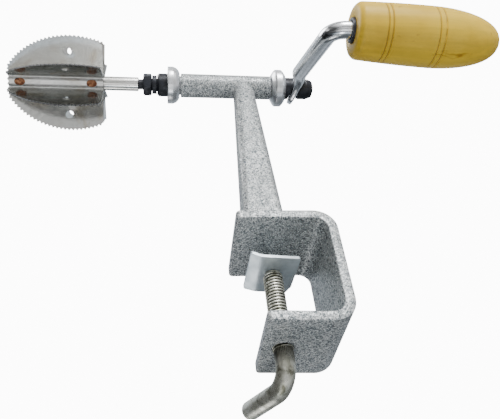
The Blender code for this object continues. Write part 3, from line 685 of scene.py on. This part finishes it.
def build_cups(look):
    """Pressed cups with a spigot in the barrel and a race for the balls."""
    outer = [
        (-36.5, 6.0), (-42.3, 6.0), (-42.3, 8.3), (-43.2, 10.0),
        (-44.6, 11.3), (-46.6, 12.1), (-50.2, 12.1),
    ]
    inner = [
        (-36.5, 4.7), (-44.6, 4.7), (-44.6, 9.9), (-45.6, 10.9),
        (-49.2, 10.9), (-49.2, 7.8), (-50.2, 7.8),
    ]
    made = ring_piece("cup_left_shell", outer, inner, look, 0.7, 96)
    finish_piece(made, "frame", "bright_zinc", "bearing_cup_left")
    outer = [
        (28.0, 9.2), (26.4, 11.4), (25.4, 12.3), (21.6, 12.3),
        (20.6, 11.4), (19.0, 8.8), (19.0, 6.0), (13.4, 6.0),
    ]
    inner = [
        (28.0, 7.55), (27.0, 7.55), (27.0, 10.9), (23.4, 10.9),
        (22.4, 9.9), (22.4, 4.7), (13.4, 4.7),
    ]
    made = ring_piece("cup_right_shell", outer, inner, look, 0.7, 96)
    finish_piece(made, "frame", "bright_zinc", "bearing_cup_right")


# Spindle


def build_shaft(look, dark):
    """Bright rod for the head, and the darkened threaded part that carries the nuts and cones."""
    join, undercut_end = UNDERCUT_X
    apart = 0.02
    profile = [(join, 0.0), (join, SHAFT_R - 0.3), (join - 0.3, SHAFT_R), (SHAFT_LEFT + 0.8, SHAFT_R)]
    profile += [(SHAFT_LEFT, SHAFT_R - 0.8), (SHAFT_LEFT, 0.0)]
    finish_piece(turned("spindle_rod", profile, look, 72), "spindle", "spindle_steel", "spindle_shaft")
    profile = [(SHAFT_RIGHT, 0.0), (SHAFT_RIGHT, THREAD_R - 1.0)]
    x = SHAFT_RIGHT - 0.5
    while x > 40.0:
        profile += [(x, THREAD_R), (x - FINE_PITCH / 2, THREAD_R - FINE_DEPTH)]
        x -= FINE_PITCH
    profile += [(38.0, THREAD_R), (undercut_end, THREAD_R), (undercut_end, UNDERCUT_R)]
    profile += [(join + apart, UNDERCUT_R), (join + apart, 0.0)]
    finish_piece(turned("spindle_thread", profile, dark, 72), "spindle", "spindle_steel")


def build_collar(look):
    left, right = COLLAR_X
    made = bored_ring("collar_ring", [(right, COLLAR_R), (left, COLLAR_R)], look, 0.4, 72)
    finish_piece(made, "spindle", "black_oxide", "spacer_collar")


def eye_frame():
    """The eye's centre, the crank's corner, and unit vectors along and across the arm, square to
    both, and square to and across the tilted eye."""
    eye = Vector((EYE_X, 0.0, AXIS_Z))
    angle = math.radians(CRANK_ANGLE)
    y, z = -CRANK_RADIUS * math.cos(angle), AXIS_Z + CRANK_RADIUS * math.sin(angle)
    corner = Vector((CORNER_X, y, z))
    along = (corner - eye).normalized()
    across = along.cross(X_AXIS).normalized()
    if across.z > 0:
        across = -across
    normal = across.cross(along).normalized()
    if normal.x < 0:
        normal = -normal
    tilt = math.radians(EYE_TILT)
    face = normal * math.cos(tilt) + across * math.sin(tilt)
    width = across * math.cos(tilt) - normal * math.sin(tilt)
    return eye, corner, along, across, normal, face, width


def side_box(start, towards):
    """A box on one side of the tilted eye, its near face at start from the eye's centre."""
    eye, _, along, _, _, face, width = eye_frame()
    size = 60.0
    middle = eye + face * (start + towards * size / 2)
    turn = Matrix((along, width, face)).transposed().to_4x4()
    place = Matrix.Translation(middle * MM) @ turn
    return primitive("box", bmesh.ops.create_cube, place, size=size * MM)


def build_cones(look):
    outer = [(-45.0, RACE_R), (-48.6, RACE_R), (-50.0, CONE_R), (-55.6, CONE_R), (-56.85, 6.4)]
    made = bored_ring("cone_left_body", outer, look, 0.3)
    finish_piece(made, "spindle", "black_oxide", "cone_left")
    outer = [(39.4, 6.4), (38.4, 7.25), (27.8, 7.25), (26.4, RACE_R), (22.8, RACE_R)]
    made = bored_ring("cone_right_body", outer, look, 0.3)
    combine(made, side_box(-EYE_T / 2 - GAP, 1.0), "DIFFERENCE")
    finish_piece(made, "spindle", "black_oxide", "cone_right")


def build_lock_nut(look):
    left, right = LOCK_NUT_X
    outer = [(right, NUT_R - 1.2), (right - 0.7, NUT_R), (left + 0.7, NUT_R), (left, NUT_R - 1.2)]
    made = bored_ring("lock_nut_body", outer, look, 0.15, 72)
    reach = NUT_FLATS / 2 / math.cos(math.radians(30.0))
    hexagon = []
    for k in range(6):
        angle = math.radians(NUT_TURN + 30.0 + 60.0 * k)
        hexagon.append((-reach * math.cos(angle), reach * math.sin(angle)))
    block = prism(
        "block", hexagon, left - 2.0, right + 2.0, lambda u, v, h: Vector((h, u, AXIS_Z + v)),
    )
    combine(made, block, "INTERSECT")
    soften(made, 0.18, 2, 25.0)
    finish_piece(made, "spindle", "black_oxide", "lock_nut")


def build_end_nut(look):
    """Domed nut, cut on the slant of the crank's eye."""
    outer = [(46.9, 5.3), (46.2, 5.8), (42.9, 7.0), (35.5, 7.0)]
    made = bored_ring("end_nut_body", outer, look, 0.3)
    combine(made, side_box(EYE_T / 2 + 1.2, -1.0), "DIFFERENCE")
    finish_piece(made, "spindle", "black_oxide", "end_nut")


def radial(angle):
    """Unit vectors out from the spindle and across; 0 degrees is out to -Y and 90 is to +Z."""
    turn = math.radians(angle)
    out = Vector((0.0, -math.cos(turn), math.sin(turn)))
    return out, out.cross(X_AXIS)


def front_teeth(start, end, teeth):
    """Teeth along the head's front edge, in (x, across)."""
    made = []
    step = (end - start) / teeth
    for k in range(teeth):
        made.append((HEAD_FRONT, start + step * (k + 0.5)))
        made.append((HEAD_FRONT + TOOTH_H * 0.8, start + step * (k + 1.0)))
    return made


def wing_outline():
    """A wing in (x, distance): straight rear edge, toothed arc, toothed nose."""
    start = math.asin((HEAD_REAR - 0.5 - HEAD_APEX_X) / HEAD_ARC_R)
    end = -math.asin((HEAD_APEX_X - HEAD_FRONT) / HEAD_ARC_R)
    count = round((start - end) * HEAD_ARC_R / TOOTH_PITCH)
    centre_r = HEAD_APEX_R - HEAD_ARC_R
    rear_turn = math.asin((HEAD_REAR - HEAD_APEX_X) / HEAD_ARC_R)
    rear_top = centre_r + HEAD_ARC_R * math.cos(rear_turn)
    made = [(HEAD_REAR, WING_ROOT), (HEAD_REAR, rear_top - 1.3)]
    for k in range(count + 1):
        angle = start + (end - start) * k / count
        corners = ((0.0, TOOTH_H), (0.44, 0.0), (0.56, 0.0))
        for share, drop in corners[:1] if k == count else corners:
            turn = angle + (end - start) / count * share
            reach = HEAD_ARC_R - drop
            x = HEAD_APEX_X + reach * math.sin(turn)
            made.append((x, centre_r + reach * math.cos(turn)))
    made += front_teeth(made[-1][1], WING_ROOT, 2)
    return made


def web_strip(look, name, angle):
    """The leaf's web, crowned over the spindle between its fold radii, toothed at the front."""
    out, side = radial(angle)
    near = SHAFT_R + GAP
    splay = 90.0 - WING_SPLAY
    flat = WEB_HALF_W - FOLD_R * 0.75
    right = arc(flat, near + FOLD_R, FOLD_R, -90.0, -90.0 + splay, 6)
    right_in = arc(flat, near + FOLD_R, FOLD_R - SHEET_T, -90.0 + splay, -90.0, 6)
    left = [(-u, v) for u, v in reversed(right)]
    left_in = [(-u, v) for u, v in reversed(right_in)]
    shares = [1 - k / 6 for k in range(1, 12)]
    crown = [(flat * share, WEB_CROWN * (1 - share ** 2)) for share in shares]
    outer = [(u, near + SHEET_T + rise) for u, rise in crown]
    inner = [(u, near + rise) for u, rise in reversed(crown)]
    outline = right + right_in + outer + left_in + left + inner
    made = prism(
        name, outline, HEAD_FRONT, HEAD_REAR - 0.2,
        lambda u, v, h: SPINDLE + X_AXIS * h + side * u + out * v, look,
    )
    edge = WEB_HALF_W + FOLD_R
    plan = [(HEAD_REAR + 2.0, -edge), (HEAD_REAR + 2.0, edge), (HEAD_FRONT + TOOTH_H, edge)]
    plan += front_teeth(edge, -edge, 4)
    block = prism(
        "block", plan, near - 2.0, near + 5.0,
        lambda u, v, h: SPINDLE + X_AXIS * u + side * v + out * h,
    )
    return combine(made, block, "INTERSECT")


def wing(angle, sign, look, painted_shade_edge_look):
    """One toothed wing of the leaf at an angle, splayed to one side, with its hole."""
    out, side = radial(angle + sign * WING_SPLAY)
    base = SPINDLE + side * sign * WING_OFFSET
    made = prism(
        "wing", wing_outline(), -SHEET_T / 2, SHEET_T / 2,
        lambda u, v, h: base + X_AXIS * u + out * v - side * h, look,
    )
    # The wing's edge faces take the darkened cut-edge material: painted shade
    made.data.materials.append(painted_shade_edge_look)
    for face in made.data.polygons[2:]:
        face.material_index = 1
    centre = base + X_AXIS * LEAF_HOLE_X + out * LEAF_HOLE_R
    return combine(made, drill(centre, side, LEAF_HOLE_RADIUS, 6.0, 36), "DIFFERENCE")


def build_welds(number, angle, look):
    """The leaf's two spot welds, low domes on its web."""
    out, side = radial(angle)
    for end, x in WELD_X:
        centre = SPINDLE + X_AXIS * x + out * (SHAFT_R + GAP + SHEET_T + WEB_CROWN)
        rings = []
        for height, share in WELD_DOME:
            size = (WELD_HALF_L * share, WELD_HALF_W * share)
            rings.append(section(centre + out * height, X_AXIS, side, *size, 2.2, 28))
        made = loft(f"spot_weld_{number}_{end}", rings, look, 60.0)
        finish_piece(made, "spindle", "stainless_blade")


def build_leaf(number, look, painted_shade_edge_look, weld_look):
    """A folded leaf: its web along the spindle and a wing either side."""
    angle = LEAF_TURN + 360.0 / LEAF_COUNT * (number - 1)
    made = web_strip(look, f"leaf_{number}_sheet", angle)
    # The darkened cut-edge material, painted shade, for the leaf's edges
    made.data.materials.append(painted_shade_edge_look)
    for sign in (-1, 1):
        combine(made, wing(angle, sign, look, painted_shade_edge_look), "UNION")
    bake(made, 25.0)
    finish_piece(made, "spindle", "stainless_blade", f"cutter_leaf_{number}")
    build_welds(number, angle, weld_look)


# Crank and grip


def grip_direction():
    """Unit vector along the grip, which leans a little out of the crank's plane."""
    across = eye_frame()[3]
    lean = math.radians(GRIP_LEAN)
    return X_AXIS * math.cos(lean) + across * math.sin(lean)


def aim_grip(made):
    """Swing a piece turned about the X line through the crank's corner onto the grip's line."""
    corner, away = eye_frame()[1], grip_direction()
    swing = X_AXIS.rotation_difference(away).to_matrix().to_4x4()
    made.data.transform(Matrix.Translation(corner * MM) @ swing @ Matrix.Translation(-corner * MM))
    return made


def bow(distance):
    """How far the arm's line stands off towards the head at a distance from the eye."""
    share = min(1.0, max(0.0, (distance - BOW_FROM) / (BOW_AT - BOW_FROM)))
    return BOW * share * share * (3 - 2 * share)


def arm_rings():
    """Sections of the arm, from the tilted flat eye to the round rod."""
    eye, _, along, across, normal, _, _ = eye_frame()
    tilt = math.radians(EYE_TILT)
    stations = []
    for turn in (-84, -74, -64, -52, -40, -28, -14, 0, 14, 26, 34):
        turn = math.radians(turn)
        stations.append((EYE_R * math.sin(turn), EYE_T / 2, EYE_R * math.cos(turn)))
    rings = []
    for distance, half_t, half_w in stations + list(NECK):
        flat = max(0.0, min(1.0, (BOW_AT - distance) / 15.0))
        flat = flat * flat * (3 - 2 * flat)
        thick_dir = normal * math.cos(tilt * flat) + across * math.sin(tilt * flat)
        wide_dir = across * math.cos(tilt * flat) - normal * math.sin(tilt * flat)
        centre = eye + along * distance - normal * bow(distance)
        rings.append(section(centre, thick_dir, wide_dir, half_t, half_w, 2.0 + 2.6 * flat))
    return rings


def leg_rings():
    """Sections of the rod round the crank's corner and along the leg inside the grip."""
    eye, corner, along, across, normal, _, _ = eye_frame()
    lean = (corner - eye - along * BOW_AT + normal * BOW).normalized()
    away = grip_direction()
    bend_angle = lean.angle(away)
    inward = (away - lean * lean.dot(away)).normalized()
    side = lean.cross(away).normalized()
    if side.dot(across) < 0:
        side = -side
    centre = corner - lean * CRANK_BEND * math.tan(bend_angle / 2) + inward * CRANK_BEND
    rings = []
    for k in range(21):
        turn = bend_angle * k / 20
        spoke = -inward * math.cos(turn) + lean * math.sin(turn)
        rings.append(section(centre + spoke * CRANK_BEND, -spoke, side, ROD_R, ROD_R, 2.0))
    for x, radius in ((ROD_END_X - 1.0, ROD_R), (ROD_END_X, ROD_R - 1.0)):
        rings.append(section(corner + away * (x - CORNER_X), -spoke, side, radius, radius, 2.0))
    return rings


def build_crank(look):
    made = loft("crank_rod", arm_rings() + leg_rings(), look, 40.0)
    combine(made, drill(eye_frame()[0], (1, 0, 0), BORE_R, 40.0, 64), "DIFFERENCE")
    bake(made, 40.0)
    finish_piece(made, "spindle", "crank_chrome", "crank_arm")


def grip_radius(s):
    """The grip's radius at a distance from its open end, before the grooves."""
    nose = 45.0
    if s < nose:
        return GRIP_R - (GRIP_R - 15.9) * ((nose - s) / (nose - 3.0)) ** 2
    share = (s - nose) / (GRIP_LEN - nose)
    return GRIP_R * math.cos(math.asin(min(1.0, share))) ** 0.8


def groove_dip(s):
    """Depth of the turned grooves at a distance from the open end."""
    reach = min(abs(s - centre) for centre in GROOVES) / GROOVE_HALF_W
    return GROOVE_DEPTH * (1 - reach ** 2) if reach < 1.0 else 0.0


def grip_stations():
    """The grip's outside as (distance, radius), closest together in the grooves."""
    stations = [(0.0, 12.6), (0.25, 13.4), (0.7, 14.2), (1.5, 15.0), (2.4, 15.6)]
    s = 3.2
    while s < GRIP_LEN - 0.4:
        stations.append((s, grip_radius(s) - TRIM - groove_dip(s)))
        near = min(abs(s + 0.1 - c) for c in GROOVES)
        if near < 0.8:
            s += 0.14
        elif s > GRIP_LEN - 6.0:
            s += 0.35
        else:
            s += min(1.2, max(0.14, near - 0.75))
    return stations


def build_grip(look):
    """Turned grip with a pocket for the ferrule and a blind bore for the rod."""
    end = GRIP_X + GRIP_LEN - TRIM
    tip = [(end, 0.0), (end - 0.02, 0.7)]
    outer = [(GRIP_X + s, r) for s, r in reversed(grip_stations())]
    bore = ROD_R + 0.4
    pocket = GRIP_X + FERRULE_LEN + GAP
    deep = ROD_END_X + 1.5
    seat = FERRULE_R + GAP
    inner = [(GRIP_X, seat + 0.4), (GRIP_X + 0.4, seat), (pocket, seat), (pocket, bore)]
    profile = tip + outer + inner + [(deep, bore), (deep, 0.0)]
    made = turned("grip_turning", profile, look, 96, line=eye_frame()[1], smooth=50.0)
    finish_piece(aim_grip(made), "grip", "yellow_lacquered_wood", "wooden_grip")


def build_ferrule(look):
    left, right = GRIP_X - FERRULE_PROUD, GRIP_X + FERRULE_LEN
    outer = [(right, FERRULE_R), (left, FERRULE_R)]
    inner = [(right, ROD_R + GAP), (left, ROD_R + GAP)]
    made = ring_piece("ferrule_bush", outer, inner, look, 0.4, 64, eye_frame()[1])
    finish_piece(aim_grip(made), "grip", "ferrule_steel", "grip_ferrule")


# Clamp screw and pad


def thread_mesh(name, low_z, look):
    """Right-handed thread with rounded crests, as one closed skin."""
    flank, crest = SCREW_R - 0.42, SCREW_R - 0.06
    shape = (SCREW_R, crest, flank, SCREW_ROOT_R + 0.08, SCREW_ROOT_R, flank, crest)
    per, steps = len(shape), 36
    rows = per * SCREW_TURNS
    verts = []
    for j in range(rows + per):
        for i in range(steps):
            angle = 2 * math.pi * i / steps
            z = low_z + SCREW_PITCH * (j / per + i / steps)
            radius = shape[j % per]
            verts.append(Vector((SCREW_X + radius * math.cos(angle), radius * math.sin(angle), z)))

    def index(j, i):
        return (j + per) * steps if i == steps else j * steps + i

    faces = []
    for j in range(rows - 1):
        for i in range(steps):
            faces.append((index(j, i), index(j, i + 1), index(j + 1, i + 1), index(j + 1, i)))
    low = [index(0, i) for i in range(steps)] + [index(j, 0) for j in range(per, 0, -1)]
    top = rows - 1
    high = [index(top, i) for i in range(steps)] + [index(top + j, 0) for j in range(per, 0, -1)]
    bottom = len(verts)
    for z in (low_z - 0.2, low_z + SCREW_PITCH * (top / per + 1.0) + 0.2):
        verts.append(Vector((SCREW_X, 0.0, z)))
    for k, here in enumerate(low):
        faces.append((bottom, low[(k + 1) % len(low)], here))
    for k, here in enumerate(high):
        faces.append((bottom + 1, here, high[(k + 1) % len(high)]))
    used = sorted({i for face in faces for i in face})
    remap = {old: new for new, old in enumerate(used)}
    faces = [tuple(remap[i] for i in face) for face in faces]
    return mesh_object(name, [verts[i] for i in used], faces, look, 50.0)


def upright(name, profile, look, steps):
    """Turn (z, radius) stations, from the top down, about the clamp screw's line."""
    made = turned(name, profile, look, steps, line=Vector())
    turn = Matrix.Rotation(-math.pi / 2, 4, "Y")
    made.data.transform(Matrix.Translation((SCREW_X * MM, 0, 0)) @ turn)
    return made


def handle_rings():
    """Sections of the screw's bent handle, from inside the thread to its softened end."""
    rise, azimuth = math.radians(HANDLE_RISE), math.radians(HANDLE_AZIMUTH)
    flat = math.cos(rise)
    leg = Vector((math.cos(azimuth) * flat, math.sin(azimuth) * flat, math.sin(rise)))
    down = Vector((0, 0, -1))
    corner = Vector((SCREW_X, 0.0, HANDLE_CORNER_Z))
    bend = math.acos(down.dot(leg))
    start = corner - down * HANDLE_BEND * math.tan(bend / 2)
    inward = (leg - down * down.dot(leg)).normalized()
    centre = start + inward * HANDLE_BEND
    side = down.cross(leg).normalized()
    thick = SCREW_ROD_R - TRIM
    path = [(Vector((SCREW_X, 0.0, -JAW_H - 3.6)), down, thick)]
    for k in range(17):
        turn = bend * k / 16
        place = centre + (-inward * math.cos(turn) + down * math.sin(turn)) * HANDLE_BEND
        heading = (down * math.cos(turn) + inward * math.sin(turn)).normalized()
        path.append((place, heading, thick))
    for back, radius in ((0.9, thick), (0.35, thick - 0.25), (0.0, thick - 0.9)):
        path.append((corner + leg * (HANDLE_LEN - back), leg, radius))
    return [section(place, side, heading.cross(side), r, r, 2.0) for place, heading, r in path]


def build_screw(look):
    """Thread, bent handle and the spigot peened into the pad, in one piece."""
    low_z = SCREW_TOP_Z - SCREW_PITCH * (SCREW_TURNS + 0.5)
    made = thread_mesh("clamp_screw_rod", low_z, look)
    combine(made, loft("rod", handle_rings(), look, 40.0), "UNION")
    pad_top, shoulder, core = PAD_UNDER_Z + PAD_T, PAD_UNDER_Z - GAP, SCREW_ROOT_R - 0.1
    profile = [
        (pad_top - 0.05, 0.0), (pad_top - 0.05, 3.7), (pad_top - 0.2, 3.95), (pad_top - 0.9, SPIGOT_R),
        (shoulder, SPIGOT_R), (shoulder, core), (SCREW_TOP_Z - 4.0, core), (SCREW_TOP_Z - 4.0, 0.0),
    ]
    combine(made, upright("spigot", profile, look, 48), "UNION")
    bake(made, 40.0)
    finish_piece(made, "screw", "screw_zinc", "clamp_screw")


def build_pad(look):
    """Bent plate cut to its outline, with a countersunk hole for the screw's spigot."""
    top = PAD_UNDER_Z + PAD_T
    edge = PAD_OUTLINE[0][0] - 1.0
    rise = PAD_FOLD_RISE * (PAD_FOLD_X - edge) / (PAD_FOLD_X - PAD_OUTLINE[0][0])
    spine = rounded([(edge, rise), (PAD_FOLD_X, 0.0), (16.0, 0.0)], 9.0, 8)
    strip = [(x, PAD_UNDER_Z + z) for x, z in reversed(spine)] + [(x, top + z) for x, z in spine]
    made = prism("pressure_pad_sheet", strip, -20.0, 20.0, side_on, look)
    outline = rounded(PAD_OUTLINE, 1.0, 4, closed=True)
    block = prism("block", outline, PAD_UNDER_Z - 5.0, top + 8.0, lambda u, v, h: Vector((u, v, h)))
    combine(made, block, "INTERSECT")
    hole = SPIGOT_R + GAP
    combine(made, drill((SCREW_X, 0.0, PAD_UNDER_Z), (0, 0, 1), hole, 10.0, 40), "DIFFERENCE")
    profile = [(top + 1.0, 0.0), (top + 1.0, 5.78), (top - SINK_H, hole), (top - SINK_H, 0.0)]
    combine(made, upright("sink", profile, None, 40), "DIFFERENCE")
    bake(made, 30.0)
    finish_piece(made, "pad", "galvanised_sheet", "pressure_pad")


# Stage


def build_stage():
    """Pale floor that only the camera sees, so that the surroundings light the underside."""
    look = Look("pale_floor")
    pale = look.ramp(look.noise(3.0), (0.3, 0.80), (0.7, 0.84))
    seen = look.node("LightPath").outputs["Is Camera Ray"]
    look.set(Base_Color=pale, Roughness=0.8, Alpha=seen)
    floor = primitive(
        "floor", bmesh.ops.create_grid, look=look.material, x_segments=1, y_segments=1, size=FLOOR_SIZE,
    )
    floor.location = (0.0, 0.0, FLOOR_Z)


def area_light(name, place, target, size, power):
    data = bpy.data.lights.new(name, "AREA")
    data.shape = "RECTANGLE"
    data.size, data.size_y = size
    data.energy = power
    made = bpy.data.objects.new(name, data)
    bpy.context.scene.collection.objects.link(made)
    made.location = place
    made.rotation_euler = (Vector(target) - Vector(place)).to_track_quat("-Z", "Y").to_euler()


def turn_of(tree):
    """Turn of a direction about the view's sideways axis: 0.5 is towards the viewer, 0.75 is up."""
    angle = tree.node("Math")
    angle.operation = "ARCTAN2"
    for socket, axis in zip(angle.inputs, (VIEW_UP, VIEW_BACK)):
        along = tree.node("VectorMath")
        along.operation = "DOT_PRODUCT"
        tree.plug(along.inputs[0], tree.coords)
        tree.plug(along.inputs[1], axis)
        tree.plug(socket, along.outputs["Value"])
    return tree.span(angle.outputs["Value"], -math.pi, math.pi, 0.0, 1.0)


def band_colour(place, grey):
    """Nearly neutral in front and above, and cooler behind and below."""
    warm = 0.98 if 0.4 < place < 0.9 else 0.82
    return (grey * warm, grey * (1 + warm) / 2, grey)


def surroundings(tree):
    """Banded studio surroundings, darkest at the far left, which metal shows as streaks."""
    bands = tree.ramp(turn_of(tree), *((place, band_colour(place, grey)) for place, grey in BANDS))
    split = tree.node("SeparateXYZ", Vector=tree.coords)
    sides = tree.ramp(tree.span(split.outputs["X"], -1.0, 1.0, 0.0, 1.0), *SIDES)
    tint = tree.node("VectorMath")
    tint.operation = "SCALE"
    tree.fill(tint, Vector=bands, Scale=sides)
    return tint.outputs["Vector"]


def build_light():
    """A white backdrop for the camera, the surroundings for everything else, and the lights."""
    world = bpy.data.worlds.new("studio")
    bpy.context.scene.world = world
    world.use_nodes = True
    tree = Tree(world.node_tree, "Generated")
    around = tree.fill(tree.nodes["Background"], Color=surroundings(tree), Strength=WORLD_LIGHT)
    backdrop = tree.node("Background", Color=(1.0, 1.0, 1.0, 1.0), Strength=BACKDROP)
    mix = tree.node("MixShader", Fac=tree.node("LightPath").outputs["Is Camera Ray"])
    tree.plug(mix.inputs[1], around.outputs["Background"])
    tree.plug(mix.inputs[2], backdrop.outputs["Background"])
    tree.fill(tree.nodes["World Output"], Surface=mix.outputs["Shader"])
    for light in LIGHTS:
        area_light(*light)


def build_camera():
    """The viewpoint, in front of the clamp and below it, looking up."""
    data = bpy.data.cameras.new("camera")
    data.lens = LENS
    data.sensor_width = SENSOR_W
    data.clip_start = 0.01
    data.clip_end = 50.0
    made = bpy.data.objects.new("camera", data)
    bpy.context.scene.collection.objects.link(made)
    turn = Matrix((VIEW_RIGHT, VIEW_UP, VIEW_BACK)).transposed().to_4x4()
    made.matrix_world = Matrix.Translation(VIEW_AT * MM) @ turn
    bpy.context.scene.camera = made


def dress(node, look):
    """Give a carried-over CAD node its finished material."""
    made = NODES[node]
    if not made.material_slots:
        made.data.materials.append(look)
    for place in made.material_slots:
        place.material = look


def build():
    paint = hammered_paint()
    zinc = bright_zinc()
    oxide = black_oxide()
    blade = stainless_blade()
    # The cut edges' material, darkened as painted shade
    edge = cut_edge_painted_shade()
    weld = weld_copper()
    build_bracket(paint)
    build_post(paint)
    build_barrel(paint)
    build_cups(zinc)
    build_shaft(turned_steel(), oxide)
    build_collar(oxide)
    build_cones(oxide)
    build_lock_nut(oxide)
    build_end_nut(oxide)
    for number in range(1, LEAF_COUNT + 1):
        build_leaf(number, blade, edge, weld)
    build_crank(crank_chrome())
    build_grip(lacquered_wood())
    build_ferrule(ferrule_steel())
    build_screw(screw_zinc())
    build_pad(galvanised_sheet())
    dress("eye_washer", oxide)
    ball = bearing_steel()
    for name in NODES:
        if name.startswith("ball_"):
            dress(name, ball)
    build_stage()
    build_light()
    build_camera()


build()
